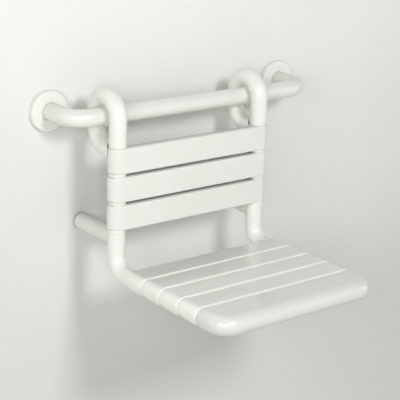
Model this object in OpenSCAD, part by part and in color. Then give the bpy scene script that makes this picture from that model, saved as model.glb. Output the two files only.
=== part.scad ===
// Hanging shower seat on a wall grab rail.
// Origin: on the wall, midway between the two rosettes, at the height of the rail's axis.
// +X runs along the wall, -Y points into the room and +Z is up. Millimetres.

/* [Tubes] */
// Outer diameter of the plastic-covered tube
tube_d = 35; // [34:0.5:36]
// Outer diameter of the steel tube inside the plastic
core_d = 26; // [24:0.5:27]
// Wall of the steel tubes
core_wall = 2; // [1.5:0.25:2.5]
// Outer diameter of the struts that reach back to the wall
strut_d = 33; // [31:0.5:34]
// Outer diameter of the steel tube inside a strut
strut_core_d = 24; // [22:0.5:24]

/* [Grab rail] */
// Distance between the rosette centres
rail_span = 580; // [560:10:760]
// Distance from the wall to the rail's axis
rail_reach = 93; // [90:1:100]
// Centreline radius of the rail's two bends
rail_bend_r = 41; // [38:1:44]
// Diameter of a rosette
rosette_d = 81; // [80:0.5:84]
// Thickness of a rosette
rosette_t = 12; // [11:0.5:14]
// Diameter of the circle on which the wall screws sit
screw_circle_d = 54; // [52:1:56]
// Diameter of a wall screw hole
screw_hole_d = 6.5; // [5.5:0.5:7]

/* [Hooks] */
// Centreline radius of the hook over the rail
hook_r = 37; // [36.5:0.5:39]
// Straight length between the hook's upper and lower bends
hook_drop = 24.5; // [22:0.5:28]
// Length of the sleeve that closes the hook against the upright
closure_l = 15; // [12:1:16]

/* [Seat frame] */
// Distance between the axes of the two uprights
seat_span = 350; // [320:5:360]
// Sideways place of the seat's middle along the rail, at rest
seat_x = -39; // [-50:1:0]
// Height from the rail's axis down to the seat tube's axis
seat_drop = 306.5; // [300:0.5:330]
// Distance from the uprights forward to the front tube's axis
seat_depth = 337; // [337:1:380]
// Centreline radius of the bend between back and seat
knee_r = 36; // [34:1:38]
// Centreline radius of the seat's front corners
corner_r = 25.5; // [24:0.5:30]
// Height from the rail's axis down to the strut's axis
strut_drop = 236.5; // [236:0.5:240]

/* [Slats] */
// Number of slats in the back
back_slats = 3; // [3]
// Number of slats in the seat behind the front piece
seat_slats = 4; // [4]
// Width of a slat
slat_w = 49.5; // [47:0.5:50]
// Gap between two slats
slat_gap = 7; // [6:0.5:8]
// Depth of a slat, from its face to the back of its rims
slat_t = 19; // [15:0.5:19]
// Outer diameter of a slat's end where it wraps the tube
ring_d = 39; // [38:0.5:40]
// Radius of a slat's outer edges
edge_r = 2.5; // [1.5:0.25:3]
// Height from the rail's axis down to the top edge of the back
back_top = 54.5; // [54:0.5:58]
// Distance from the uprights forward to the rear edge of the seat slats
seat_rear = 57.5; // [56:0.5:60]

/* [Hidden] */
$fn = 72;

// Clearances
fit_gap = 0.1;
seam_gap = 0.2;
liner_gap = 0.3;
running_gap = 0.05;
cut_over = 1;

// Rail
rail_y = -rail_reach;
core_bore_d = core_d - 2 * core_wall;
bore_d = core_d + 2 * fit_gap;
plate_d = 70;
plate_t = 5;
spigot_l = 30;
rosette_wall = 3;
rosette_edge_r = 3;
rosette_hole_d = tube_d + 1;
set_screw_d = 6;
set_screw_y = -24;
set_screw_recess = 0.5;
set_screw_hex_d = 3;
set_screw_hex_h = 3;
wall_screws = 3;

// Hooks
upright_y = rail_y - hook_r;
hook_back_y = rail_y + hook_r;
closure_z = -hook_drop - hook_r;
closure_d = tube_d + 2;
plug_inset = 4;
hook_plug_y = upright_y + core_d / 2 + plug_inset;
plug_wall = 3;
plug_d = 20;
liner_w = 18;

// Seat frame
half_span = seat_span / 2;
seat_z = -seat_drop;
front_y = upright_y - seat_depth;
corner_y = front_y + corner_r;
knee_y = upright_y - knee_r;
knee_z = seat_z + knee_r;
strut_bore_d = strut_core_d - 2 * core_wall;
buffer_t = 5;
buffer_spigot_l = 16;
buffer_edge_r = 2;

// Slats
ring_r = ring_d / 2;
face_sink = 0.1;
face_z = ring_r - face_sink;
pitch = slat_w + slat_gap;
skin_t = 4;
rib_t = 3;
pockets = 6;
pocket_clear = 6;
slot_w = bore_d + 1;
cap_side_top = -6;
lower_collar_l = 6.5;
back_bottom = back_top + back_slats * pitch - slat_gap;
front_rear_y = upright_y - seat_rear - seat_slats * pitch;
top_cap_l = slat_w - (-closure_z + closure_d / 2 - back_top) - seam_gap;

// Cap screws
screw_d = 4;
screw_l = 9;
head_d = 7.6;
head_h = 2.2;
head_sink = 0.6;
head_hex_d = 2.5;
head_floor = 0.4;
pilot_d = 3.4;
front_screw_x = [-110, 0, 110];
side_screw_inset = 15;
side_screw_y = front_rear_y - side_screw_inset;

white = "whitesmoke";
steel = "silver";

// ---------------------------------------------------------------- helpers

// Straight round bar between two points
module bar(from, to, d) {
  v = to - from;
  translate(from)
    rotate([0, acos(v.z / norm(v)), atan2(v.y, v.x)])
      cylinder(h = norm(v), d = d);
}

// Arc of a round bar in a plane parallel to YZ, angles counted from +Y towards +Z
module side_arc(x, y, z, r, start, sweep, d) {
  translate([x, y, z])
    rotate([90, 0, 90])
      rotate([0, 0, start])
        rotate_extrude(angle = sweep)
          translate([r, 0])
            circle(d = d);
}

// Arc of a round bar in a plane parallel to XY, angles counted from +X towards +Y
module flat_arc(x, y, z, r, start, sweep, d) {
  translate([x, y, z])
    rotate([0, 0, start])
      rotate_extrude(angle = sweep)
        translate([r, 0])
          circle(d = d);
}

// Section extruded along X: the section's x becomes Y and its y becomes Z
module along_x(len) {
  rotate([90, 0, 90])
    linear_extrude(len, center = true)
      children();
}

// Bar along Y, centred on the origin, with its rear shoulder rounded and, if wanted, its front one
module shouldered_bar(len, r, edge, both = true) {
  front_edge = both ? edge : 0;
  rotate([-90, 0, 0])
    rotate_extrude()
      union() {
        translate([0, -len / 2])
          square([r - edge, len]);
        translate([0, -len / 2 + front_edge])
          square([r, len - edge - front_edge]);
        translate([r - edge, len / 2 - edge])
          circle(r = edge);
        if (both)
          translate([r - edge, -len / 2 + edge])
            circle(r = edge);
        else
          translate([0, -len / 2])
            square([r, edge]);
      }
}

// Outline of a slat across its width: flat underneath, its two outer edges rounded
module slat_outline() {
  low = face_z - slat_t;
  translate([-slat_w / 2, low])
    square([slat_w, slat_t - edge_r]);
  translate([-slat_w / 2 + edge_r, low])
    square([slat_w - 2 * edge_r, slat_t]);
  for (s = [-1, 1])
    translate([s * (slat_w / 2 - edge_r), face_z - edge_r])
      circle(r = edge_r);
}

// Left is -1 and right is +1
function upright_x(side) = seat_x + side * half_span;

// ---------------------------------------------------------------- grab rail

module rail_path(d, start_y) {
  leg_end = rail_y + rail_bend_r;
  run_end = rail_span / 2 - rail_bend_r;
  bar([-run_end, rail_y, 0], [run_end, rail_y, 0], d);
  for (side = [-1, 1]) {
    bar([side * rail_span / 2, start_y, 0], [side * rail_span / 2, leg_end, 0], d);
    flat_arc(side * run_end, leg_end, 0, rail_bend_r, side > 0 ? -90 : 180, 90, d);
  }
}

module set_screw_holes(d) {
  for (side = [-1, 1])
    bar([side * rail_span / 2, set_screw_y, -tube_d], [side * rail_span / 2, set_screw_y, 0], d);
}

module rail_cover() {
  color(white)
    difference() {
      rail_path(tube_d, -plate_t);
      rail_path(bore_d, -plate_t + cut_over);
      set_screw_holes(set_screw_d + 2 * fit_gap);
    }
}

module rail_core() {
  color(steel)
    difference() {
      rail_path(core_d, -plate_t);
      rail_path(core_bore_d, -plate_t + cut_over);
      set_screw_holes(set_screw_d - 2 * fit_gap);
    }
}

module wall_plate(side) {
  spigot_d = core_bore_d - 2 * fit_gap;
  color(steel)
    translate([side * rail_span / 2, 0, 0])
      rotate([90, 0, 0])
        difference() {
          union() {
            cylinder(h = plate_t, d = plate_d);
            cylinder(h = plate_t + spigot_l, d = spigot_d);
          }
          for (i = [0:wall_screws - 1])
            rotate([0, 0, 90 + i * 360 / wall_screws])
              translate([screw_circle_d / 2, 0, -cut_over])
                cylinder(h = plate_t + 2 * cut_over, d = screw_hole_d);
        }
}

module rosette(side) {
  r = rosette_d / 2;
  color(white)
    translate([side * rail_span / 2, 0, 0])
      rotate([90, 0, 0])
        rotate_extrude()
          difference() {
            union() {
              square([r - rosette_edge_r, rosette_t]);
              square([r, rosette_t - rosette_edge_r]);
              translate([r - rosette_edge_r, rosette_t - rosette_edge_r])
                circle(r = rosette_edge_r);
            }
            translate([0, -cut_over])
              square([r - rosette_wall, rosette_t - rosette_wall + cut_over]);
            translate([0, -cut_over])
              square([rosette_hole_d / 2, rosette_t + 2 * cut_over]);
          }
}

module rail_set_screws() {
  low = -tube_d / 2 + set_screw_recess;
  high = -core_bore_d / 2 + fit_gap / 2;
  color("dimgray")
    for (side = [-1, 1])
      translate([side * rail_span / 2, set_screw_y, low])
        difference() {
          cylinder(h = high - low, d = set_screw_d);
          translate([0, 0, -cut_over])
            cylinder(h = cut_over + set_screw_hex_h, d = set_screw_hex_d, $fn = 6);
        }
}

// ---------------------------------------------------------------- hook liners

// Spool that sits on the rail inside a hook and is open underneath, so that it clips on
module hook_liner(side) {
  saddle_r = tube_d / 2 + liner_gap;
  color("gainsboro")
    translate([upright_x(side), rail_y, 0])
      difference() {
        rotate([0, 90, 0])
          rotate_extrude()
            difference() {
              translate([0, -liner_w / 2])
                square([hook_r, liner_w]);
              translate([hook_r, 0])
                circle(r = saddle_r);
              translate([0, -liner_w])
                square([tube_d / 2 + running_gap, 2 * liner_w]);
            }
        translate([-liner_w, -tube_d / 4, -tube_d])
          cube([2 * liner_w, tube_d / 2, tube_d]);
      }
}

// ---------------------------------------------------------------- seat frame

// Hook over the rail, from its closing end behind the upright round to the foot of its front leg
module hook_path(side, d, end_y, foot_z) {
  x = upright_x(side);
  bar([x, end_y, closure_z], [x, rail_y, closure_z], d);
  side_arc(x, rail_y, -hook_drop, hook_r, -90, 90, d);
  bar([x, hook_back_y, -hook_drop], [x, hook_back_y, 0], d);
  side_arc(x, rail_y, 0, hook_r, 0, 180, d);
  bar([x, upright_y, foot_z], [x, upright_y, 0], d);
}

// Knee between back and seat, from a height on the upright to a depth on the seat tube
module knee_path(side, d, top_z, end_y) {
  x = upright_x(side);
  bar([x, upright_y, knee_z], [x, upright_y, top_z], d);
  side_arc(x, knee_y, knee_z, knee_r, -90, 90, d);
  bar([x, end_y, seat_z], [x, knee_y, seat_z], d);
}

// Front loop of the seat tube, from a depth on one side round to the same depth on the other
module front_path(d, rear_y) {
  corner_x = half_span - corner_r;
  bar([seat_x - corner_x, front_y, seat_z], [seat_x + corner_x, front_y, seat_z], d);
  for (side = [-1, 1]) {
    bar([upright_x(side), corner_y, seat_z], [upright_x(side), rear_y, seat_z], d);
    flat_arc(seat_x + side * corner_x, corner_y, seat_z, corner_r, side > 0 ? -90 : 180, 90, d);
  }
}

// The same front loop with a rectangular section that opens downwards
module front_slot(w, top_z, rear_y) {
  corner_x = half_span - corner_r;
  h = ring_d;
  translate([seat_x - corner_x, front_y - w / 2, top_z - h])
    cube([2 * corner_x, w, h]);
  for (side = [-1, 1]) {
    translate([upright_x(side) - w / 2, corner_y, top_z - h])
      cube([w, rear_y - corner_y, h]);
    translate([seat_x + side * corner_x, corner_y, top_z - h])
      rotate([0, 0, side > 0 ? -90 : 180])
        rotate_extrude(angle = 90)
          translate([corner_r - w / 2, 0])
            square([w, h]);
  }
}

// Tubes of the skeleton: hooks, uprights, seat loop and struts
module frame_tubes(d, hook_end_y, strut_tube_d, strut_end_y) {
  front_path(d, knee_y);
  for (side = [-1, 1]) {
    hook_path(side, d, hook_end_y, knee_z);
    side_arc(upright_x(side), knee_y, knee_z, knee_r, -90, 90, d);
    bar([upright_x(side), upright_y, -strut_drop], [upright_x(side), strut_end_y, -strut_drop],
        strut_tube_d);
  }
}

// Steel skeleton, welded into one piece; a plug welded to the upright closes each hook
module frame_core() {
  color(steel)
    difference() {
      union() {
        frame_tubes(core_d, hook_plug_y, strut_core_d, -buffer_t);
        for (side = [-1, 1])
          bar([upright_x(side), upright_y, closure_z],
              [upright_x(side), hook_plug_y + plug_wall, closure_z], plug_d);
      }
      frame_tubes(core_bore_d, hook_plug_y + plug_wall, strut_bore_d, -buffer_t + cut_over);
      at_each_cap_screw()
        cylinder(h = ring_r - core_bore_d / 2 + cut_over, d = pilot_d);
    }
}

module hook_cover(side) {
  cover_end_y = upright_y + ring_r + seam_gap + closure_l + seam_gap;
  foot_z = -back_top + seam_gap;
  color(white)
    difference() {
      hook_path(side, tube_d, cover_end_y, foot_z);
      hook_path(side, bore_d, cover_end_y - cut_over, foot_z - cut_over);
      bar([upright_x(side), upright_y, closure_z], [upright_x(side), rail_y, closure_z], bore_d);
    }
}

// Sleeve that closes the hook, fitted to the round back of the upright
module hook_closure(side) {
  x = upright_x(side);
  end_y = upright_y + ring_r + seam_gap + closure_l;
  color(white)
    difference() {
      translate([x, (upright_y + end_y) / 2, closure_z])
        shouldered_bar(end_y - upright_y, closure_d / 2, edge_r / 2);
      translate([x, upright_y, closure_z - closure_d])
        cylinder(h = 2 * closure_d, r = ring_r + seam_gap);
      bar([x, upright_y, closure_z], [x, end_y + cut_over, closure_z], bore_d);
    }
}

module lower_collar(side) {
  top = -back_bottom - seam_gap;
  color(white)
    translate([upright_x(side), upright_y, top - lower_collar_l])
      difference() {
        cylinder(h = lower_collar_l, d = tube_d);
        translate([0, 0, -cut_over])
          cylinder(h = lower_collar_l + 2 * cut_over, d = bore_d);
      }
}

module knee_cover(side) {
  x = upright_x(side);
  top_z = -back_bottom - lower_collar_l - 2 * seam_gap;
  end_y = upright_y - seat_rear + seam_gap;
  color(white)
    difference() {
      knee_path(side, tube_d, top_z, end_y);
      knee_path(side, bore_d, top_z + cut_over, end_y - cut_over);
      bar([x, upright_y, -strut_drop], [x, 0, -strut_drop], strut_core_d + 2 * fit_gap);
    }
}

module strut_cover(side) {
  x = upright_x(side);
  color(white)
    difference() {
      bar([x, upright_y, -strut_drop], [x, -buffer_t, -strut_drop], strut_d);
      bar([x, upright_y, -strut_drop], [x, 0, -strut_drop], strut_core_d + 2 * fit_gap);
      translate([x, upright_y, -strut_drop - strut_d])
        cylinder(h = 2 * strut_d, d = tube_d + 2 * fit_gap);
    }
}

// Soft pad at the wall end of a strut, held by a spigot in the strut's bore
module wall_buffer(side) {
  r = strut_d / 2;
  color("gainsboro")
    translate([upright_x(side), -buffer_t, -strut_drop])
      rotate([-90, 0, 0])
        rotate_extrude()
          union() {
            translate([0, fit_gap])
              square([r - buffer_edge_r, buffer_t - fit_gap]);
            translate([0, fit_gap])
              square([r, buffer_t - fit_gap - buffer_edge_r]);
            translate([r - buffer_edge_r, buffer_t - buffer_edge_r])
              circle(r = buffer_edge_r);
            translate([0, -buffer_spigot_l])
              square([strut_bore_d / 2 - fit_gap, buffer_spigot_l + 2 * fit_gap]);
          }
}

// ---------------------------------------------------------------- slats

// A slat lies in its own frame: X along it, Y across it towards its rear edge, Z out of its face.
// The tubes run along Y through the middles of its two rings.

// Middle of a slat across its width, counted from the top of the back or the rear of the seat
module on_back(i) {
  translate([seat_x, upright_y, -back_top - slat_w / 2 - i * pitch])
    rotate([90, 0, 0])
      children();
}

module on_seat(i) {
  translate([seat_x, upright_y - seat_rear - slat_w / 2 - i * pitch, seat_z])
    children();
}

// Hollows in the underside of a slat, with ribs left between them
module slat_pockets(w, y_mid) {
  low = face_z - slat_t;
  run = 2 * (half_span - ring_r - pocket_clear);
  len = (run - (pockets - 1) * rib_t) / pockets;
  for (i = [0:pockets - 1])
    translate([-run / 2 + i * (len + rib_t), y_mid - w / 2 + skin_t, low - cut_over])
      cube([len, w - 2 * skin_t, slat_t - skin_t + cut_over]);
}

module slat(collar) {
  color(white)
    difference() {
      union() {
        along_x(2 * half_span)
          slat_outline();
        for (side = [-1, 1])
          translate([side * half_span, 0, 0]) {
            shouldered_bar(slat_w, ring_r, edge_r);
            if (collar)
              bar([0, 0, 0], [0, slat_w / 2 + slat_gap - seam_gap, 0], tube_d);
          }
      }
      slat_pockets(slat_w, 0);
      for (side = [-1, 1])
        translate([side * half_span, 0, 0]) {
          bar([0, -slat_w, 0], [0, slat_w, 0], bore_d);
          translate([-slot_w / 2, -slat_w, -ring_d])
            cube([slot_w, 2 * slat_w, ring_d]);
        }
    }
}

// Saddle that closes one ring from behind; len is its length and shift its place along the ring
module ring_cap(len, shift) {
  w = slot_w - 2 * fit_gap;
  difference() {
    intersection() {
      bar([0, shift - len / 2, 0], [0, shift + len / 2, 0], ring_d);
      translate([-w / 2, shift - len, -ring_d])
        cube([w, 2 * len, ring_d + cap_side_top]);
    }
    bar([0, -slat_w, 0], [0, slat_w, 0], bore_d);
    translate([0, shift, 0])
      screw_hole();
  }
}

// Clearance for a countersunk screw that enters along +Z from below
module screw_hole() {
  head_z = -ring_r + head_sink;
  translate([0, 0, -ring_d])
    cylinder(h = ring_d, d = screw_d + 2 * fit_gap);
  translate([0, 0, head_z])
    cylinder(h = head_h, d1 = head_d + 2 * fit_gap, d2 = screw_d + 2 * fit_gap);
  translate([0, 0, head_z - ring_r])
    cylinder(h = ring_r, d = head_d + 2 * fit_gap);
}

module cap_screw() {
  translate([0, 0, -ring_r + head_sink])
    difference() {
      union() {
        cylinder(h = head_h, d1 = head_d, d2 = screw_d);
        cylinder(h = screw_l, d = screw_d);
      }
      translate([0, 0, -cut_over])
        cylinder(h = cut_over + head_h - head_floor, d = head_hex_d, $fn = 6);
    }
}

// Length of the cap on a slat's ring: the top slat's is short, below the hook's closing sleeve
function cap_len(on_top_slat) = on_top_slat ? top_cap_l : slat_w - 2 * edge_r;
function cap_shift(on_top_slat) = on_top_slat ? (top_cap_l - slat_w) / 2 + edge_r / 2 : 0;

module back_caps() {
  color(white)
    for (i = [0:back_slats - 1], side = [-1, 1])
      on_back(i)
        translate([side * half_span, 0, 0])
          ring_cap(cap_len(i == 0), cap_shift(i == 0));
}

module seat_caps() {
  color(white)
    for (i = [0:seat_slats - 1], side = [-1, 1])
      on_seat(i)
        translate([side * half_span, 0, 0])
          ring_cap(cap_len(false), 0);
}

// Puts its children at every cap screw, +Z from the core's axis outwards through the cap
module at_each_cap_screw() {
  for (side = [-1, 1]) {
    for (i = [0:back_slats - 1])
      on_back(i)
        translate([side * half_span, cap_shift(i == 0), 0])
          mirror([0, 0, 1])
            children();
    for (i = [0:seat_slats - 1])
      on_seat(i)
        translate([side * half_span, 0, 0])
          mirror([0, 0, 1])
            children();
    translate([upright_x(side), side_screw_y, seat_z])
      mirror([0, 0, 1])
        children();
  }
  for (x = front_screw_x)
    translate([seat_x + x, front_y, seat_z])
      mirror([0, 0, 1])
        children();
}

module cap_screws() {
  color("silver")
    at_each_cap_screw()
      mirror([0, 0, 1])
        cap_screw();
}

// ---------------------------------------------------------------- seat front

// Flat top of the front piece: its rear edge is rounded like a slat's, its front follows the tube
module front_plate() {
  low = seat_z + face_z - slat_t;
  edge_l = 10;
  translate([0, 0, low])
    linear_extrude(slat_t) {
      translate([seat_x - half_span, corner_y])
        square([2 * half_span, front_rear_y - edge_l / 2 - corner_y]);
      translate([seat_x - half_span + corner_r, front_y])
        square([2 * (half_span - corner_r), corner_r]);
      for (side = [-1, 1])
        translate([seat_x + side * (half_span - corner_r), corner_y])
          circle(r = corner_r);
    }
  translate([seat_x, front_rear_y - edge_l / 2, low])
    along_x(2 * half_span)
      union() {
        translate([-edge_l / 2, 0])
          square([edge_l, slat_t - edge_r]);
        translate([-edge_l / 2, 0])
          square([edge_l - edge_r, slat_t]);
        translate([edge_l / 2 - edge_r, slat_t - edge_r])
          circle(r = edge_r);
      }
}

module seat_front() {
  shoulder_l = 14;
  plate_w = front_rear_y - front_y - bore_d / 2;
  color(white)
    difference() {
      union() {
        front_path(ring_d, front_rear_y - shoulder_l);
        front_plate();
        for (side = [-1, 1]) {
          translate([upright_x(side), front_rear_y - shoulder_l / 2, seat_z])
            shouldered_bar(shoulder_l, ring_r, edge_r, false);
          bar([upright_x(side), front_rear_y - shoulder_l / 2, seat_z],
              [upright_x(side), front_rear_y + slat_gap - seam_gap, seat_z], tube_d);
        }
      }
      front_path(bore_d, front_rear_y + 2 * slat_gap);
      front_slot(slot_w, seat_z, front_rear_y + 2 * slat_gap);
      translate([seat_x, 0, seat_z])
        slat_pockets(plate_w, front_rear_y - plate_w / 2);
    }
}

// Strip that closes the front piece from below
module seat_front_strip() {
  rear_y = front_rear_y - edge_r;
  color(white)
    difference() {
      intersection() {
        front_path(ring_d, rear_y);
        front_slot(slot_w - 2 * fit_gap, seat_z + cap_side_top, rear_y);
      }
      front_path(bore_d, rear_y + cut_over);
      for (side = [-1, 1])
        translate([upright_x(side), side_screw_y, seat_z])
          screw_hole();
      for (x = front_screw_x)
        translate([seat_x + x, front_y, seat_z])
          screw_hole();
    }
}

// ---------------------------------------------------------------- the parts

rail_cover();
rail_core();
wall_plate(-1);  // wall_plate_left
wall_plate(1);  // wall_plate_right
rosette(-1);  // rosette_left
rosette(1);  // rosette_right
rail_set_screws();
hook_liner(-1);  // hook_liner_left
hook_liner(1);  // hook_liner_right
frame_core();
hook_cover(-1);  // hook_cover_left
hook_cover(1);  // hook_cover_right
hook_closure(-1);  // hook_closure_left
hook_closure(1);  // hook_closure_right
on_back(0) slat(false);  // back_slat_top
on_back(1) slat(true);  // back_slat_middle
on_back(2) slat(true);  // back_slat_bottom
back_caps();
lower_collar(-1);  // lower_collar_left
lower_collar(1);  // lower_collar_right
knee_cover(-1);  // knee_cover_left
knee_cover(1);  // knee_cover_right
on_seat(0) slat(false);  // seat_slat_1
on_seat(1) slat(true);  // seat_slat_2
on_seat(2) slat(true);  // seat_slat_3
on_seat(3) slat(true);  // seat_slat_4
seat_caps();
seat_front();
seat_front_strip();
cap_screws();
strut_cover(-1);  // strut_cover_left
strut_cover(1);  // strut_cover_right
wall_buffer(-1);  // wall_buffer_left
wall_buffer(1);  // wall_buffer_right
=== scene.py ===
"""Looks of the hanging shower seat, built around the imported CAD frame. Metres, the CAD's own frame."""
import math

import bmesh
import bpy
from mathutils import Matrix, Vector


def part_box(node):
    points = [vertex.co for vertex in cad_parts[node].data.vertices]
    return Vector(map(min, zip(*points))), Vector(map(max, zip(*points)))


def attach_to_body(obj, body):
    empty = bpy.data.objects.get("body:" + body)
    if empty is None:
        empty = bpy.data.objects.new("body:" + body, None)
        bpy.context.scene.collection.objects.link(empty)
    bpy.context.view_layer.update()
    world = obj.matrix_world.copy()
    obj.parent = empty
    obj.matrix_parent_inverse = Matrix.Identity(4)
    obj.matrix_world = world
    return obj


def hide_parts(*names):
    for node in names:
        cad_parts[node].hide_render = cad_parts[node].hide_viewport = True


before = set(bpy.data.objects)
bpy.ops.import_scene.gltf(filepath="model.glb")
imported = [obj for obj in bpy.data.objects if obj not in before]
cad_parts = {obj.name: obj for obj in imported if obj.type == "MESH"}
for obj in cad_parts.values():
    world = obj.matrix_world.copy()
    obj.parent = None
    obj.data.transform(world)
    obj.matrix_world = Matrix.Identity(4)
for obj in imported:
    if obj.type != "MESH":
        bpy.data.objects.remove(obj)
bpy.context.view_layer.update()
scene = bpy.context.scene
MM = 0.001
X, Y, Z = Vector((1, 0, 0)), Vector((0, 1, 0)), Vector((0, 0, 1))
SIDES = ("left", "right")


# ------------------------------------------------------------------ sizes, read off the frame


def centre(node):
    low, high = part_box(node)
    return (low + high) / 2


def extent(node):
    low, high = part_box(node)
    return high - low


TUBE_R = extent("lower_collar_left").x / 2
STRUT_R = extent("strut_cover_left").x / 2
CLOSURE_R = extent("hook_closure_left").x / 2
ROSETTE_R = extent("rosette_left").x / 2
ROSETTE_T = extent("rosette_left").y
SEAT_X = centre("seat_front").x
UPRIGHT_X = {side: centre("lower_collar_" + side).x for side in SIDES}
UPRIGHT_Y = centre("lower_collar_left").y
HALF_SPAN = UPRIGHT_X["right"] - SEAT_X
RAIL_X = {side: centre("rosette_" + side).x for side in SIDES}
RAIL_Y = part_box("rail_cover")[0].y + TUBE_R
RAIL_START_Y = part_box("rail_cover")[1].y
HOOK_R = extent("hook_cover_left").y / 2 - TUBE_R
CLOSURE_Z = centre("hook_closure_left").z
CLOSURE_END_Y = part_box("hook_closure_left")[1].y
STRUT_Z = centre("strut_cover_left").z
STRUT_END_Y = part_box("strut_cover_left")[1].y
RING_R = extent("seat_slat_1").x / 2 - HALF_SPAN
SLAT_W = extent("seat_slat_1").y
COLLAR_L = extent("seat_slat_2").y - SLAT_W
SEAT_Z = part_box("seat_slat_1")[1].z - RING_R
FRONT_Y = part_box("seat_front")[0].y + RING_R
FRONT_REAR_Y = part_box("seat_front")[1].y - COLLAR_L

# What the boxes don't tell
RAIL_BEND_R = 41 * MM  # the rail's two bends, on the tube's axis
KNEE_R = 36 * MM  # the bends between back and seat
CORNER_R = 25.5 * MM  # the seat's front corners
BORE_R = 13.1 * MM  # inside of the nylon tubes, just clear of the steel
STRUT_BORE_R = BORE_R - 1 * MM
STRUT_GAP = 0.1 * MM  # between a strut's cover and the upright that it meets
FACE_SINK = 0.1 * MM  # how far a slat's flat face lies below the tops of its rings
SLAT_T = 19 * MM  # depth of a slat
SKIN_T = 4 * MM  # thickness of a slat's face and long walls
SLOT_HALF = 13.6 * MM  # half of the opening in the back of each ring
EDGE_R = 2 * MM  # rounding of a slat's long edges
RING_CROWN = 0.7 * MM  # how much slimmer a ring is at its ends than in its middle
SEAM = 0.2 * MM  # between one cover and the next
SEAM_EDGE = 0.6 * MM  # rounding of a cover's ends
CLOSURE_EDGE = 1.3 * MM
POCKETS = 6  # hollows under each slat
RIB_T = 3 * MM

# How finely shapes are drawn
ROUND_STEPS = 56
ROSETTE_STEPS = 96
FINE_STEP = 3 * MM
SHARP_ANGLE = math.radians(38)


# ------------------------------------------------------------------ paths and sweeps


class Path:
    """Straight runs and bends in one plane, followed like a pen from its start."""

    def __init__(self, start, heading, normal=X):
        self.end, self.heading, self.normal = Vector(start), Vector(heading), Vector(normal)
        self.runs = []
        self.length = 0.0

    def line(self, length):
        self.runs.append((self.length, length, self.end, self.heading, 0.0, None))
        self.end = self.end + self.heading * length
        self.length += length
        return self

    def bend(self, radius, degrees):
        angle = math.radians(degrees)
        inward = self.normal.cross(self.heading) * math.copysign(radius, angle)
        pivot = self.end + inward
        length = radius * abs(angle)
        self.runs.append((self.length, length, self.end, self.heading, angle, pivot))
        turn = Matrix.Rotation(angle, 3, self.normal)
        self.end = pivot + turn @ (self.end - pivot)
        self.heading = turn @ self.heading
        self.length += length
        return self

    def at(self, s):
        """Point and heading at a distance from the start."""
        run = next((r for r in self.runs if s <= r[0] + r[1]), self.runs[-1])
        begin, length, start, heading, angle, pivot = run
        if not angle:
            return start + heading * (s - begin), heading
        turn = Matrix.Rotation(angle * (s - begin) / length, 3, self.normal)
        return pivot + turn @ (start - pivot), turn @ heading


def rounded_end(edge, radius, steps=5):
    """(distance from the end, radius) pairs round an outer edge, from the end face outwards."""
    pairs = []
    for k in range(steps + 1):
        a = math.pi / 2 * k / steps
        pairs.append((edge * (1 - math.cos(a)), radius - edge + edge * math.sin(a)))
    return pairs


def spread(low, high, step):
    """Evenly spaced values strictly between two limits."""
    count = max(1, math.ceil((high - low) / step))
    return [low + (high - low) * k / count for k in range(1, count)]


def pipe_outline(length, radius, bore, edge, step=FINE_STEP):
    """Closed outline, as (distance, radius) pairs, of a pipe with softened outer ends."""
    start = rounded_end(edge, radius)
    stop = [(length - s, r) for s, r in reversed(start)]
    outside = start + [(s, radius) for s in spread(edge, length - edge, step)] + stop
    inside = [(length, bore)] + [(s, bore) for s in reversed(spread(0, length, 2 * step))] + [(0, bore)]
    return outside + inside


def sweep(path, outline, shape=None, segments=ROUND_STEPS):
    """Vertices and faces of an outline turned round a path. shape(point, s) may move a vertex."""
    verts, faces = [], []
    for s, r in outline:
        point, heading = path.at(s)
        across = path.normal.cross(heading)
        for k in range(segments):
            a = 2 * math.pi * k / segments
            v = point + (across * math.cos(a) + path.normal * math.sin(a)) * r
            verts.append(shape(v, s) if shape else v)
    rings = len(outline)
    for i in range(rings):
        j = (i + 1) % rings
        for k in range(segments):
            n = (k + 1) % segments
            faces.append((i * segments + k, i * segments + n, j * segments + n, j * segments + k))
    return verts, faces


def saddle(axis_y, radius, start_y, length):
    """Fits a sleeve's near end to a round post: its length is squeezed where the post bulges."""
    def shape(v, s):
        side = min((abs(v.x - x) for x in UPRIGHT_X.values()))
        bulge = axis_y + math.sqrt(max(radius ** 2 - side ** 2, 0)) - start_y
        return Vector((v.x, v.y + bulge * (1 - s / length), v.z))
    return shape


# ------------------------------------------------------------------ making pieces


def solid(name, part):
    """Mesh of a (vertices, faces) part with its faces turned outwards."""
    mesh = bpy.data.meshes.new(name)
    mesh.from_pydata(part[0], [], part[1])
    bm = bmesh.new()
    bm.from_mesh(mesh)
    bmesh.ops.recalc_face_normals(bm, faces=bm.faces)
    bm.to_mesh(mesh)
    bm.free()
    return mesh


def piece(name, part, body, nodes, material):
    """Smooth-shaded object made of one part, which rides on a body."""
    mesh = solid(name, part)
    obj = bpy.data.objects.new(name, mesh)
    scene.collection.objects.link(obj)
    smooth(obj)
    mesh.materials.append(material)
    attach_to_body(obj, body)
    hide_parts(*nodes)
    return obj


def smooth(obj):
    """Smooth shading that keeps the sharp edges."""
    obj.data.shade_smooth()
    obj.data.set_sharp_from_angle(angle=SHARP_ANGLE)


# ------------------------------------------------------------------ materials


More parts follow.
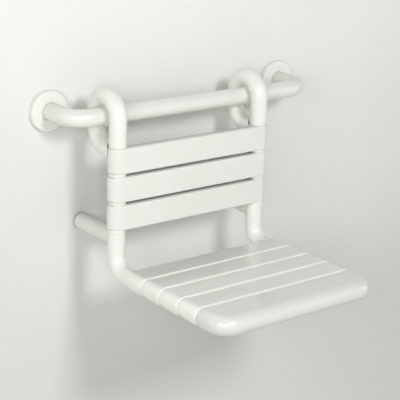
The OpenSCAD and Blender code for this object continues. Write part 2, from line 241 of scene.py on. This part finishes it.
class Nodes:
    """Short way to write a material's node tree."""

    def __init__(self, name):
        self.material = bpy.data.materials.new(name)
        self.material.use_nodes = True
        self.tree = self.material.node_tree
        self.shader = next(n for n in self.tree.nodes if n.type == "BSDF_PRINCIPLED")
        coordinates = self.add("ShaderNodeTexCoord")
        self.coords, self.normal = coordinates.outputs["Object"], coordinates.outputs["Normal"]

    def add(self, kind, **values):
        node = self.tree.nodes.new(kind)
        for key, value in values.items():
            setattr(node, key, value)
        return node

    def link(self, output, target):
        self.tree.links.new(output, target)

    def noise(self, scale, detail=3, stretch=None, roughness=0.5):
        node = self.add("ShaderNodeTexNoise")
        node.inputs["Scale"].default_value = scale
        node.inputs["Detail"].default_value = detail
        node.inputs["Roughness"].default_value = roughness
        source = self.coords
        if stretch:
            mapping = self.add("ShaderNodeMapping")
            mapping.inputs["Scale"].default_value = stretch
            self.link(source, mapping.inputs["Vector"])
            source = mapping.outputs["Vector"]
        self.link(source, node.inputs["Vector"])
        return node.outputs["Fac"]

    def ramp(self, fac, *stops):
        """Colour ramp from (position, grey or colour) stops."""
        node = self.add("ShaderNodeValToRGB")
        elements = node.color_ramp.elements
        while len(elements) < len(stops):
            elements.new(0.5)
        for element, (position, value) in zip(elements, stops):
            element.position = position
            colour = value if isinstance(value, tuple) else (value, value, value)
            element.color = (*colour, 1)
        self.link(fac, node.inputs["Fac"])
        return node.outputs["Color"]

    def mix(self, fac, a, b, blend="MIX"):
        node = self.add("ShaderNodeMix", data_type="RGBA", blend_type=blend)
        if isinstance(fac, float):
            node.inputs["Factor"].default_value = fac
        else:
            self.link(fac, node.inputs["Factor"])
        self.link(a, node.inputs["A"])
        self.link(b, node.inputs["B"])
        return node.outputs["Result"]

    def bump(self, height, distance, strength, under=None):
        node = self.add("ShaderNodeBump")
        node.inputs["Strength"].default_value = strength
        node.inputs["Distance"].default_value = distance
        self.link(height, node.inputs["Height"])
        if under:
            self.link(under, node.inputs["Normal"])
        return node.outputs["Normal"]

    def math(self, operation, *values):
        """Math node whose inputs are numbers or other nodes' outputs."""
        node = self.add("ShaderNodeMath", operation=operation)
        for socket, value in zip(node.inputs, values):
            if isinstance(value, bpy.types.NodeSocket):
                self.link(value, socket)
            else:
                socket.default_value = value
        return node.outputs["Value"]

    def remap(self, value, low, high, start=0.0, stop=1.0):
        """The range from low to high, stretched to start and stop and held there beyond them."""
        node = self.add("ShaderNodeMapRange")
        for name, limit in (("From Min", low), ("From Max", high), ("To Min", start), ("To Max", stop)):
            node.inputs[name].default_value = limit
        self.link(value, node.inputs["Value"])
        return node.outputs["Result"]

    def split(self, vector):
        node = self.add("ShaderNodeSeparateXYZ")
        self.link(vector, node.inputs["Vector"])
        return node.outputs

    def set(self, **values):
        for key, value in values.items():
            self.shader.inputs[key.replace("_", " ")].default_value = value


def painted_gap_shade(m):
    """Strength of the painted shade deep in the back's gaps: 1 at the rear of the level faces between
    two back slats, less on the back's open top and bottom edges, and 0 on the slats' faces and in their
    hollows."""
    shade_start, shade_full, slack, open_share = 7.5 * MM, 12 * MM, 1 * MM, 0.35
    place, facing = m.split(m.coords), m.split(m.normal)
    face_y = UPRIGHT_Y - RING_R
    slat_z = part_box("back_slat_middle")[0].z
    depth = m.remap(place["Y"], face_y + shade_start, face_y + shade_full)
    level = m.remap(m.math("ABSOLUTE", facing["Z"]), 0.6, 0.9)
    from_gap = m.math("SUBTRACT", place["Z"], slat_z - COLLAR_L / 2)
    beside = m.math("PINGPONG", from_gap, (SLAT_W + COLLAR_L) / 2)
    edge = m.math("LESS_THAN", beside, COLLAR_L / 2 + slack)
    from_middle = m.math("SUBTRACT", place["Z"], slat_z + SLAT_W / 2)
    inner = m.remap(m.math("ABSOLUTE", from_middle), SLAT_W, SLAT_W * 1.4, 1.0, open_share)
    return m.math("MULTIPLY", m.math("MULTIPLY", depth, level), m.math("MULTIPLY", edge, inner))


def white_nylon(name, tint, gloss, wipe, coat=0.12, gap_shade=None, top_shade=None):
    """Glossy moulded polyamide: faint flow mottling, wiped-clean gloss marks and orange peel.
    tint is its colour, gloss its mean roughness, wipe the direction of the cleaning marks, coat how
    much of a polished skin it has, crevice how dark the painted shade deep in the back's gaps is and
    worn how much its upward faces are darkened by painted shade."""
    m = Nodes(name)
    lighter = tuple(min(c * 1.015, 1) for c in tint)
    darker = tuple(c * f for c, f in zip(tint, (0.972, 0.968, 0.955)))
    flow = m.ramp(m.noise(14, 4), (0.3, darker), (0.55, tint), (0.75, lighter))
    speck = m.ramp(m.noise(420, 2), (0.3, tuple(c * 0.985 for c in tint)), (0.7, lighter))
    base = m.mix(0.35, flow, speck)
    if gap_shade:
        # Painted shade: darkens the rear of the level faces deep in the back's gaps, where little light
        # reaches.
        shade = m.ramp(painted_gap_shade(m), (0.0, 1.0), (1.0, gap_shade))
        base = m.mix(1.0, base, shade, "MULTIPLY")
    if top_shade:
        # Painted shade: upward faces darkened, standing in for the lesser light that falls on them.
        upward = m.split(m.normal)["Z"]
        base = m.mix(1.0, base, m.ramp(upward, (0.8, 1.0), (0.985, top_shade)), "MULTIPLY")
    m.link(base, m.shader.inputs["Base Color"])
    film = m.ramp(m.noise(9, 5, roughness=0.6), (0.3, gloss - 0.03), (0.7, gloss + 0.04))
    marks = m.ramp(m.noise(55, 4, wipe, 0.6), (0.35, gloss - 0.015), (0.7, gloss + 0.03))
    m.link(m.mix(0.4, film, marks), m.shader.inputs["Roughness"])
    peel = m.bump(m.noise(330, 2), 0.00005, 0.4)
    sink = m.bump(m.noise(28, 2), 0.0004, 0.12, peel)
    m.link(sink, m.shader.inputs["Normal"])
    m.set(IOR=1.53, Coat_Weight=coat, Coat_Roughness=0.07)
    return m.material


def brushed_steel(name, colour, rough, stretch):
    """Drawn or turned steel: fine streaks along one direction and a little oxide."""
    m = Nodes(name)
    streaks = m.noise(260, 4, stretch, 0.7)
    dull = tuple(c * 0.72 for c in colour)
    m.link(m.ramp(streaks, (0.3, dull), (0.7, colour)), m.shader.inputs["Base Color"])
    m.link(m.ramp(streaks, (0.3, rough + 0.12), (0.7, rough - 0.08)), m.shader.inputs["Roughness"])
    m.link(m.bump(streaks, 0.00008, 0.4), m.shader.inputs["Normal"])
    m.set(Metallic=1.0)
    return m.material


def dull_plastic(name, colour, rough):
    """Matt low-friction plastic or rubber: fine grain and soft scuffs."""
    m = Nodes(name)
    dark = tuple(c * 0.86 for c in colour)
    m.link(m.ramp(m.noise(45, 5), (0.3, dark), (0.65, colour)), m.shader.inputs["Base Color"])
    scuffs = m.ramp(m.noise(120, 3), (0.3, rough - 0.08), (0.7, rough + 0.1))
    m.link(scuffs, m.shader.inputs["Roughness"])
    m.link(m.bump(m.noise(900, 2), 0.0001, 0.5), m.shader.inputs["Normal"])
    return m.material


WARM_WHITE = (0.775, 0.775, 0.742)
TUBE = white_nylon("nylon_tube", WARM_WHITE, 0.3, (1, 1, 1))
RAIL = white_nylon("nylon_rail", (0.73, 0.73, 0.698), 0.3, (0.3, 1, 1))
# crevice paints shade deep in the gaps between the back slats.
BACK = white_nylon("nylon_back_slat", (0.73, 0.73, 0.698), 0.3, (0.25, 1, 1.5), gap_shade=0.2)
# The struts' darker tint is painted shade: the same white nylon, darkened where it stands in shadow.
STRUT = white_nylon("nylon_strut", (0.7, 0.7, 0.668), 0.32, (1, 0.3, 1))
# worn darkens the seat slats' upward faces: a painted shade.
SEAT = white_nylon("nylon_seat_slat", (0.785, 0.785, 0.752), 0.34, (0.25, 1.5, 1), 0.9, top_shade=0.84)
FRONT = white_nylon("nylon_seat_front", (0.65, 0.65, 0.623), 0.38, (0.25, 1.5, 1), 0.7, top_shade=0.97)
ROSETTE = white_nylon("nylon_rosette", (0.79, 0.792, 0.758), 0.3, (1, 1, 1))
CAP = white_nylon("nylon_cap", (0.75, 0.75, 0.712), 0.34, (1, 1, 1))
CORE = brushed_steel("zinc_coated_tube", (0.56, 0.57, 0.58), 0.42, (1, 6, 1))
SCREW = brushed_steel("stainless_screw", (0.66, 0.66, 0.65), 0.3, (1, 1, 1))
LINER = dull_plastic("liner_plastic", (0.66, 0.66, 0.63), 0.5)
RUBBER = dull_plastic("buffer_rubber", (0.45, 0.45, 0.43), 0.75)


def dress_cad(names, material):
    """Gives CAD nodes that have no finer piece their material."""
    for name in names:
        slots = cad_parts[name].data.materials
        slots.clear()
        slots.append(material)


dress_cad(("rail_core", "frame_core", "wall_plate_left", "wall_plate_right"), CORE)
dress_cad(("rail_set_screws", "cap_screws"), SCREW)
dress_cad(("hook_liner_left", "hook_liner_right"), LINER)
dress_cad(("back_caps", "seat_caps", "seat_front_strip"), CAP)


# ------------------------------------------------------------------ tubes, rosettes and collars


def rail_cover():
    """Straight tube with a bend to the wall at each end."""
    run = RAIL_X["right"] - RAIL_X["left"] - 2 * RAIL_BEND_R
    leg = RAIL_START_Y - RAIL_Y - RAIL_BEND_R
    path = Path((RAIL_X["left"], RAIL_START_Y, 0), -Y, Z)
    path.line(leg).bend(RAIL_BEND_R, 90).line(run).bend(RAIL_BEND_R, 90).line(leg)
    outline = pipe_outline(path.length, TUBE_R, BORE_R, SEAM_EDGE)
    piece("rail_tube", sweep(path, outline), "rail", ["rail_cover"], RAIL)


def rosette(side):
    """Round cover over the screw plate, with a soft rim and a thin reveal round the tube."""
    rim, gap, lip, wall = 3.2 * MM, 0.5 * MM, 0.5 * MM, 3 * MM
    foot, foot_mid, foot_cut = 0.8 * MM, 0.3 * MM, 0.2 * MM
    hole = TUBE_R + gap
    outline = [(0, ROSETTE_R - foot), (foot_mid, ROSETTE_R - foot_cut), (foot, ROSETTE_R)]
    outline += [(s, ROSETTE_R) for s in spread(foot, ROSETTE_T - rim, FINE_STEP)]
    outline += [(ROSETTE_T - s, r) for s, r in reversed(rounded_end(rim, ROSETTE_R, 8))]
    outline += [(ROSETTE_T - s, hole + lip - r) for s, r in rounded_end(lip, lip, 3)]
    outline += [(ROSETTE_T - wall, hole), (ROSETTE_T - wall, ROSETTE_R - wall), (0, ROSETTE_R - wall)]
    path = Path((RAIL_X[side], 0, 0), -Y).line(ROSETTE_T)
    node = "rosette_" + side
    piece("cover_" + node, sweep(path, outline, segments=ROSETTE_STEPS), "rail", [node], ROSETTE)


def hook(side):
    """Tube from the closing sleeve back, up, over the rail and down to the top slat."""
    start_y = CLOSURE_END_Y + SEAM
    drop = -CLOSURE_Z - HOOK_R
    foot_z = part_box("back_slat_top")[1].z + SEAM
    path = Path((UPRIGHT_X[side], start_y, CLOSURE_Z), Y)
    path.line(RAIL_Y - start_y).bend(HOOK_R, 90).line(drop).bend(HOOK_R, 180).line(-foot_z)
    outline = pipe_outline(path.length, TUBE_R, BORE_R, SEAM_EDGE)
    node = "hook_cover_" + side
    piece("hook_tube_" + side, sweep(path, outline), "seat", [node], TUBE)


def hook_closure(side):
    """Thicker sleeve that closes the hook behind its upright."""
    length = CLOSURE_END_Y - UPRIGHT_Y
    path = Path((UPRIGHT_X[side], UPRIGHT_Y, CLOSURE_Z), Y).line(length)
    outline = pipe_outline(length, CLOSURE_R, BORE_R, CLOSURE_EDGE, step=2 * MM)
    fit = saddle(UPRIGHT_Y, RING_R + SEAM, UPRIGHT_Y, length)
    node = "hook_closure_" + side
    piece("hook_sleeve_" + side, sweep(path, outline, fit), "seat", [node], TUBE)


def lower_collar(side):
    """Short collar on the upright, under the lowest back slat."""
    low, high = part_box("lower_collar_" + side)
    path = Path((UPRIGHT_X[side], UPRIGHT_Y, high.z), -Z).line(high.z - low.z)
    outline = pipe_outline(path.length, TUBE_R, BORE_R, SEAM_EDGE, step=1 * MM)
    node = "lower_collar_" + side
    piece("collar_" + side, sweep(path, outline), "seat", [node], TUBE)


def knee(side):
    """Tube round the bend between back and seat."""
    low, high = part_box("knee_cover_" + side)
    knee_z = SEAT_Z + KNEE_R
    path = Path((UPRIGHT_X[side], UPRIGHT_Y, high.z), -Z)
    path.line(high.z - knee_z).bend(KNEE_R, -90).line(UPRIGHT_Y - KNEE_R - low.y)
    outline = pipe_outline(path.length, TUBE_R, BORE_R, SEAM_EDGE)
    node = "knee_cover_" + side
    piece("knee_tube_" + side, sweep(path, outline), "seat", [node], TUBE)


def strut(side):
    """Tube from the upright back to the wall."""
    length = STRUT_END_Y - UPRIGHT_Y
    path = Path((UPRIGHT_X[side], UPRIGHT_Y, STRUT_Z), Y).line(length)
    outline = pipe_outline(length, STRUT_R, STRUT_BORE_R, SEAM_EDGE)
    fit = saddle(UPRIGHT_Y, TUBE_R + STRUT_GAP, UPRIGHT_Y, length)
    node = "strut_cover_" + side
    piece("strut_tube_" + side, sweep(path, outline, fit), "seat", [node], STRUT)


def buffer(side):
    """Rubber pad with a rounded rim and a shallow dished face, plugged into the strut."""
    low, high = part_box("wall_buffer_" + side)
    length = high.y - low.y
    spigot_r, lead_in, face_t, rim, step = 9.9 * MM, 1 * MM, 4.9 * MM, 2 * MM, 0.6 * MM
    dish_r, pinhole_r = STRUT_R - 4 * MM, 0.2 * MM
    outline = [(0, spigot_r - lead_in), (lead_in, spigot_r), (length - face_t, spigot_r)]
    outline += [(length - face_t, STRUT_R - step), (length - face_t + step, STRUT_R)]
    outline += [(length - s, r) for s, r in reversed(rounded_end(rim, STRUT_R, 6))]
    outline += [(length - step, dish_r), (length - step, pinhole_r), (0, pinhole_r)]
    path = Path((UPRIGHT_X[side], low.y, STRUT_Z), Y).line(length)
    node = "wall_buffer_" + side
    piece("pad_" + node, sweep(path, outline), "seat", [node], RUBBER)


# ------------------------------------------------------------------ slats


def inset(distance):
    """How far a slat's rounded edge draws back at a distance from its end."""
    t = max(EDGE_R - distance, 0)
    return EDGE_R - math.sqrt(max(EDGE_R ** 2 - t ** 2, 0))


def polar(radius, degrees):
    a = math.radians(degrees)
    return radius * math.cos(a), radius * math.sin(a)


def ring_point(degrees):
    """Point on a ring, which draws back along its radius and is crowned away from its top."""
    share = min(abs(degrees - 90) / 60, 1)
    return *polar(RING_R, degrees), polar(1, degrees), share ** 2 * (3 - 2 * share)


def slat_profile():
    """Points (outward from the tube's axis, up, draw-back direction, crown share) of one end of a
    slat, from the flat face over the ring and round its bore to the flat underside."""
    over_steps, bore_steps, under_steps, fillet_steps = 14, 10, 8, 4
    fillet, fillet_draw, still = 4 * MM, (-0.4, 0), (0, 0)
    past_underside = 8  # degrees that the ring is drawn beyond the slat's underside
    slot_angle = math.degrees(math.asin(SLOT_HALF / RING_R))
    under_z = RING_R - FACE_SINK - SLAT_T
    points = [ring_point(90 - k * (180 - slot_angle) / over_steps) for k in range(over_steps + 1)]
    points += [(SLOT_HALF, 0, still, 0), (BORE_R, 0, still, 0)]
    points += [(*polar(BORE_R, 180 * k / bore_steps), still, 0) for k in range(1, bore_steps)]
    points += [(-BORE_R, 0, still, 0), (-SLOT_HALF, 0, still, 0)]
    first = 270 - slot_angle
    last = 180 - math.degrees(math.asin(under_z / RING_R)) + past_underside
    points += [ring_point(first + (last - first) * k / under_steps) for k in range(under_steps + 1)]
    end_x, end_z = points[-1][:2]
    for k in range(1, fillet_steps):
        t = k / fillet_steps
        z = end_z + (under_z - end_z) * (1 - (1 - t) ** 2)
        points.append((end_x - fillet * t, z, fillet_draw, 0))
    points.append((end_x - fillet - 1 * MM, under_z, still, 0))
    return points


PROFILE = slat_profile()


def station(tube_xy, outward, back, crown):
    """One cross-section: where the tube's axis is, which way is out, and how much edges draw back."""
    return {"xy": tube_xy, "out": outward, "back": back, "crown": crown}


def slat_part(stations, place, closed_front):
    """Slat from its stations, rear to front, mirrored left and right. place(x, along, up) puts a
    point in the world. The top face and the underside join the two ends."""
    count, total = len(PROFILE), len(stations)
    face_up, tiny = RING_R - FACE_SINK, 1e-6
    verts = []
    for mirror in (-1, 1):
        for st in stations:
            for out, up, draw, share in PROFILE:
                pull = st["back"] + st["crown"] * share
                out_now, up_now = out - draw[0] * pull, up - draw[1] * pull
                if share == 0 and up > RING_R - tiny:
                    up_now = face_up - st["back"]
                x = st["xy"][0] + st["out"][0] * out_now
                along = st["xy"][1] + st["out"][1] * out_now
                verts.append(place(mirror * x, along, up_now))
    left, right = ([[(side * total + k) * count + j for j in range(count)] for k in range(total)]
                   for side in (0, 1))
    faces = []
    for rows in (left, right):
        for row, after in zip(rows, rows[1:]):
            faces += [(row[j], row[j + 1], after[j + 1], after[j]) for j in range(count - 1)]
    for j in (0, count - 1):
        faces += [(left[k][j], right[k][j], right[k + 1][j], left[k + 1][j]) for k in range(total - 1)]
    faces.append(tuple(left[0] + right[0][::-1]))
    start, stop = left[-1], right[-1]
    if closed_front:
        faces += [(start[j], start[j + 1], stop[j + 1], stop[j]) for j in range(count - 1)]
    else:
        faces.append(tuple(start + stop[::-1]))
    return verts, faces


def edge_stations(y_rear, y_front, both):
    """Depths from rear to front, close together where the edges are rounded."""
    steps, stride = 5, 4 * MM
    near = [EDGE_R * (1 - math.cos(math.pi / 2 * k / steps)) for k in range(steps + 1)]
    values = [y_rear - d for d in near]
    stop = y_front + (EDGE_R if both else 0)
    values += [y_rear - EDGE_R - d for d in spread(0, y_rear - EDGE_R - stop, stride)]
    values += [y_front + d for d in reversed(near)] if both else [y_front]
    return values


def plain_slat(place):
    """A slat whose two long sides are both rounded."""
    half = SLAT_W / 2
    stations = []
    for y in edge_stations(half, -half, True):
        crown = RING_CROWN * (y / half) ** 2
        stations.append(station((HALF_SPAN, y), (1, 0), inset(half - abs(y)), crown))
    return slat_part(stations, place, False)


def front_slat(place):
    """The front slat: straight rings, two rounded corners and the front tube between them."""
    corner_steps = 14
    corner_x, corner_y = HALF_SPAN - CORNER_R, FRONT_Y + CORNER_R
    straight = FRONT_REAR_Y - corner_y
    stations = []
    for y in edge_stations(FRONT_REAR_Y, corner_y, False):
        crown = RING_CROWN * max(1 - (FRONT_REAR_Y - y) / straight, 0) ** 2
        stations.append(station((HALF_SPAN, y), (1, 0), inset(FRONT_REAR_Y - y), crown))
    for k in range(1, corner_steps + 1):
        a = math.radians(90 * k / corner_steps)
        out = (math.cos(a), -math.sin(a))
        spot = (corner_x + CORNER_R * out[0], corner_y + CORNER_R * out[1])
        stations.append(station(spot, out, 0, 0))
    return slat_part(stations, place, True)


def spacer(place):
    """Short collars on a slat's far side, one round each tube and flush with it."""
    verts, faces = [], []
    for mirror in (-1, 1):
        path = Path((0, 0, 0), Y).line(COLLAR_L)
        outline = pipe_outline(COLLAR_L, TUBE_R, BORE_R, SEAM_EDGE, step=2 * MM)
        part_verts, part_faces = sweep(path, outline)
        base = len(verts)
        verts += [place(mirror * HALF_SPAN + v.x, v.y, v.z) for v in part_verts]
        faces += [tuple(base + i for i in f) for f in part_faces]
    return verts, faces


def pocket_boxes(width, mid, place):
    """Boxes that hollow the underside, with ribs left between them."""
    margin, draft, through = 6 * MM, 0.4 * MM, 5 * MM
    run = 2 * (HALF_SPAN - RING_R - margin)
    length = (run - (POCKETS - 1) * RIB_T) / POCKETS
    top, low = RING_R - FACE_SINK - SKIN_T, RING_R - SLAT_T - through
    half = width / 2 - SKIN_T
    sides = ((0, 3, 2, 1), (4, 5, 6, 7), (0, 1, 5, 4), (1, 2, 6, 5), (2, 3, 7, 6), (3, 0, 4, 7))
    verts, faces = [], []
    for i in range(POCKETS):
        x0 = -run / 2 + i * (length + RIB_T)
        base = len(verts)
        for z, grow in ((low, 0), (top, -draft)):
            x_low, x_high = x0 - grow, x0 + length + grow
            y_low, y_high = mid - half - grow, mid + half + grow
            for x, y in ((x_low, y_low), (x_high, y_low), (x_high, y_high), (x_low, y_high)):
                verts.append(place(x, y, z))
        faces += [tuple(base + corner for corner in side) for side in sides]
    return verts, faces


def carve(obj, part):
    """Cuts a part out of a piece."""
    cutter = bpy.data.objects.new("cutter", solid("cutter", part))
    scene.collection.objects.link(cutter)
    cut = obj.modifiers.new("carve", "BOOLEAN")
    cut.operation, cut.object, cut.solver = "DIFFERENCE", cutter, "EXACT"
    bpy.context.view_layer.update()
    result = bpy.data.meshes.new_from_object(obj.evaluated_get(bpy.context.evaluated_depsgraph_get()))
    obj.modifiers.clear()
    obj.data = result
    bpy.data.objects.remove(cutter)


def attach(obj, part):
    """Adds a part to a piece."""
    addition = solid("addition", part)
    bm = bmesh.new()
    bm.from_mesh(obj.data)
    bm.from_mesh(addition)
    bm.to_mesh(obj.data)
    bm.free()
    bpy.data.meshes.remove(addition)


def on_back(mid_z):
    """place() for a slat of the back: along it is up, and its face looks into the room."""
    return lambda x, along, up: Vector((SEAT_X + x, UPRIGHT_Y - up, mid_z + along))


def on_seat(mid_y):
    """place() for a slat of the seat: along it is towards the wall, and its face looks up."""
    return lambda x, along, up: Vector((SEAT_X + x, mid_y + along, SEAT_Z + up))


def shift_along(place, amount):
    """place() moved along the tubes."""
    return lambda x, along, up: place(x, along + amount, up)


def slat(name, node, place, material, with_spacer):
    """Slat with its hollows and, if asked, the short collars between it and the next one."""
    obj = piece(name, plain_slat(place), "seat", [node], material)
    carve(obj, pocket_boxes(SLAT_W, 0, place))
    if with_spacer:
        attach(obj, spacer(shift_along(place, SLAT_W / 2)))
    smooth(obj)


def make_slats():
    """Three slats on the back and four on the seat. The first of each has no collars."""
    for node in ("back_slat_top", "back_slat_middle", "back_slat_bottom"):
        mid_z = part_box(node)[0].z + SLAT_W / 2
        slat(node + "_moulding", node, on_back(mid_z), BACK, node != "back_slat_top")
    for i in range(1, 5):
        node = "seat_slat_%d" % i
        mid_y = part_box(node)[0].y + SLAT_W / 2
        slat(node + "_moulding", node, on_seat(mid_y), SEAT, i > 1)


def seat_front():
    """Front slat, with its hollows and the collars between it and the last plain slat."""
    place = on_seat(0)
    obj = piece("seat_front_moulding", front_slat(place), "seat", ["seat_front"], FRONT)
    width = FRONT_REAR_Y - FRONT_Y - BORE_R
    carve(obj, pocket_boxes(width, FRONT_REAR_Y - width / 2, place))
    attach(obj, spacer(shift_along(place, FRONT_REAR_Y)))
    smooth(obj)


rail_cover()
for side in SIDES:
    rosette(side)
    hook(side)
    hook_closure(side)
    lower_collar(side)
    knee(side)
    strut(side)
    buffer(side)
make_slats()
seat_front()


# ------------------------------------------------------------------ stage, lights and camera


def backdrop_paint_and_falloff(wall_y, floor_z):
    """Matt paint with a painted falloff of the light that darkens it towards the floor. It is clear from
    behind and under the rosettes, so that the object shows from behind the wall."""
    m = Nodes("backdrop_paint_and_falloff")
    mottle = m.ramp(m.noise(3, 3), (0.3, 0.97), (0.7, 1))
    # Painted shade: the wall's colour darkens towards the floor, standing in for the light falling off
    # there.
    height = m.remap(m.split(m.coords)["Z"], floor_z, 0.6)
    falloff_paint = m.ramp(height, (0, (0.61, 0.615, 0.59)), (1, (0.835, 0.828, 0.812)))
    m.link(m.mix(1.0, falloff_paint, mottle, "MULTIPLY"), m.shader.inputs["Base Color"])
    m.set(Roughness=0.9, Specular_IOR_Level=0.1)
    m.link(m.bump(m.noise(600, 2), 0.0001, 0.2), m.shader.inputs["Normal"])
    clearness = m.add("ShaderNodeNewGeometry").outputs["Backfacing"]
    for side in SIDES:
        away = m.add("ShaderNodeVectorMath", operation="DISTANCE")
        away.inputs[1].default_value = (RAIL_X[side], wall_y, 0)
        m.link(m.coords, away.inputs[0])
        under = m.math("LESS_THAN", away.outputs["Value"], ROSETTE_R - 2 * MM)
        clearness = m.math("MAXIMUM", clearness, under)
    choose, clear = m.add("ShaderNodeMixShader"), m.add("ShaderNodeBsdfTransparent")
    m.link(clearness, choose.inputs["Fac"])
    m.link(m.shader.outputs["BSDF"], choose.inputs[1])
    m.link(clear.outputs["BSDF"], choose.inputs[2])
    output = next(node for node in m.tree.nodes if node.type == "OUTPUT_MATERIAL")
    m.link(choose.outputs["Shader"], output.inputs["Surface"])
    return m.material


def backdrop():
    """Pale wall, just behind the rosettes, that curves into a pale floor."""
    wall_y, wall_top, floor_z, cove, reach, half = 0.001, 2.2, -1.0, 0.45, 3.8, 4.0
    cove_steps = 16
    outline = [(wall_y, wall_top), (wall_y, floor_z + cove)]
    for k in range(1, cove_steps + 1):
        a = math.pi / 2 * k / cove_steps
        outline.append((wall_y - cove * (1 - math.cos(a)), floor_z + cove * (1 - math.sin(a))))
    outline.append((-reach, floor_z))
    verts = [Vector((x, y, z)) for x in (-half, half) for y, z in outline]
    n = len(outline)
    faces = [(k, k + 1, n + k + 1, n + k) for k in range(n - 1)]
    mesh = bpy.data.meshes.new("backdrop")
    mesh.from_pydata(verts, [], faces)
    mesh.shade_smooth()
    mesh.materials.append(backdrop_paint_and_falloff(wall_y, floor_z))
    obj = bpy.data.objects.new("backdrop", mesh)
    scene.collection.objects.link(obj)


def direction(azimuth, elevation):
    a, e = math.radians(azimuth), math.radians(elevation)
    return Vector((math.sin(a) * math.cos(e), -math.cos(a) * math.cos(e), math.sin(e)))


def floor_light(power):
    """Wide panel high over the front of the floor, facing straight down."""
    light = bpy.data.lights.new("floor_light", "AREA")
    light.shape, light.size, light.energy, light.spread = "SQUARE", 2.5, power, math.radians(110)
    obj = bpy.data.objects.new("floor_light", light)
    obj.location = (0, -3.6, 2.2)
    scene.collection.objects.link(obj)


def soft_box(name, azimuth, elevation, distance, size, power, aim=(-0.05, -0.2, -0.2)):
    """Square area light aimed at the seat."""
    back = direction(azimuth, elevation)
    light = bpy.data.lights.new(name, "AREA")
    light.shape, light.size, light.energy = "SQUARE", size, power
    obj = bpy.data.objects.new(name, light)
    obj.location = Vector(aim) + back * distance
    obj.rotation_mode = "QUATERNION"
    obj.rotation_quaternion = (-back).to_track_quat("-Z", "Y")
    scene.collection.objects.link(obj)


def surroundings(strength):
    """Even soft light: pale at the horizon, dimmer overhead and behind the wall."""
    world = bpy.data.worlds.new("soft_room")
    world.use_nodes = True
    tree = world.node_tree
    add, link = tree.nodes.new, tree.links.new
    direction, axes = add("ShaderNodeTexCoord"), add("ShaderNodeSeparateXYZ")
    link(direction.outputs["Generated"], axes.inputs["Vector"])
    shades = []
    for axis, low, high, grey in (("Z", 0.15, 0.75, 0.12), ("Y", 0.0, 0.35, 0.55)):
        ramp = add("ShaderNodeValToRGB")
        for element, position, value in zip(ramp.color_ramp.elements, (low, high), (1.0, grey)):
            element.position, element.color = position, (value, value * 0.995, value * 0.98, 1)
        link(axes.outputs[axis], ramp.inputs["Fac"])
        shades.append(ramp.outputs["Color"])
    both = add("ShaderNodeMix")
    both.data_type, both.blend_type = "RGBA", "MULTIPLY"
    both.inputs["Factor"].default_value = 1.0
    link(shades[0], both.inputs["A"])
    link(shades[1], both.inputs["B"])
    background = tree.nodes["Background"]
    background.inputs["Strength"].default_value = strength
    link(both.outputs["Result"], background.inputs["Color"])
    scene.world = world


def camera():
    """Looks at the seat from the front left, a little above it and slightly rolled."""
    aim, distance = Vector((-0.0749, -0.2121, -0.1611)), 2.571
    back, roll = direction(-38.44, 17.42), math.radians(1.87)
    data = bpy.data.cameras.new("camera")
    data.lens, data.sensor_width = 119.0, 36
    obj = bpy.data.objects.new("camera", data)
    obj.location = aim + back * distance
    right = (-back).cross(Z).normalized()
    up = back.cross(right).normalized()
    x_axis = right * math.cos(roll) + up * math.sin(roll)
    y_axis = -right * math.sin(roll) + up * math.cos(roll)
    obj.rotation_mode = "QUATERNION"
    obj.rotation_quaternion = Matrix((x_axis, y_axis, back)).transposed().to_quaternion()
    scene.collection.objects.link(obj)
    scene.camera = obj


backdrop()
surroundings(0.52)
soft_box("key", -4, 31, 2.6, 0.5, 29.5)
soft_box("left", -38, 15, 2.6, 0.8, 15)
soft_box("far_left", -60, 18, 2.6, 0.9, 16.5)
soft_box("right", 60, 12, 2.6, 1.2, 7.5)
floor_light(26)
camera()
scene.view_settings.view_transform = "Standard"
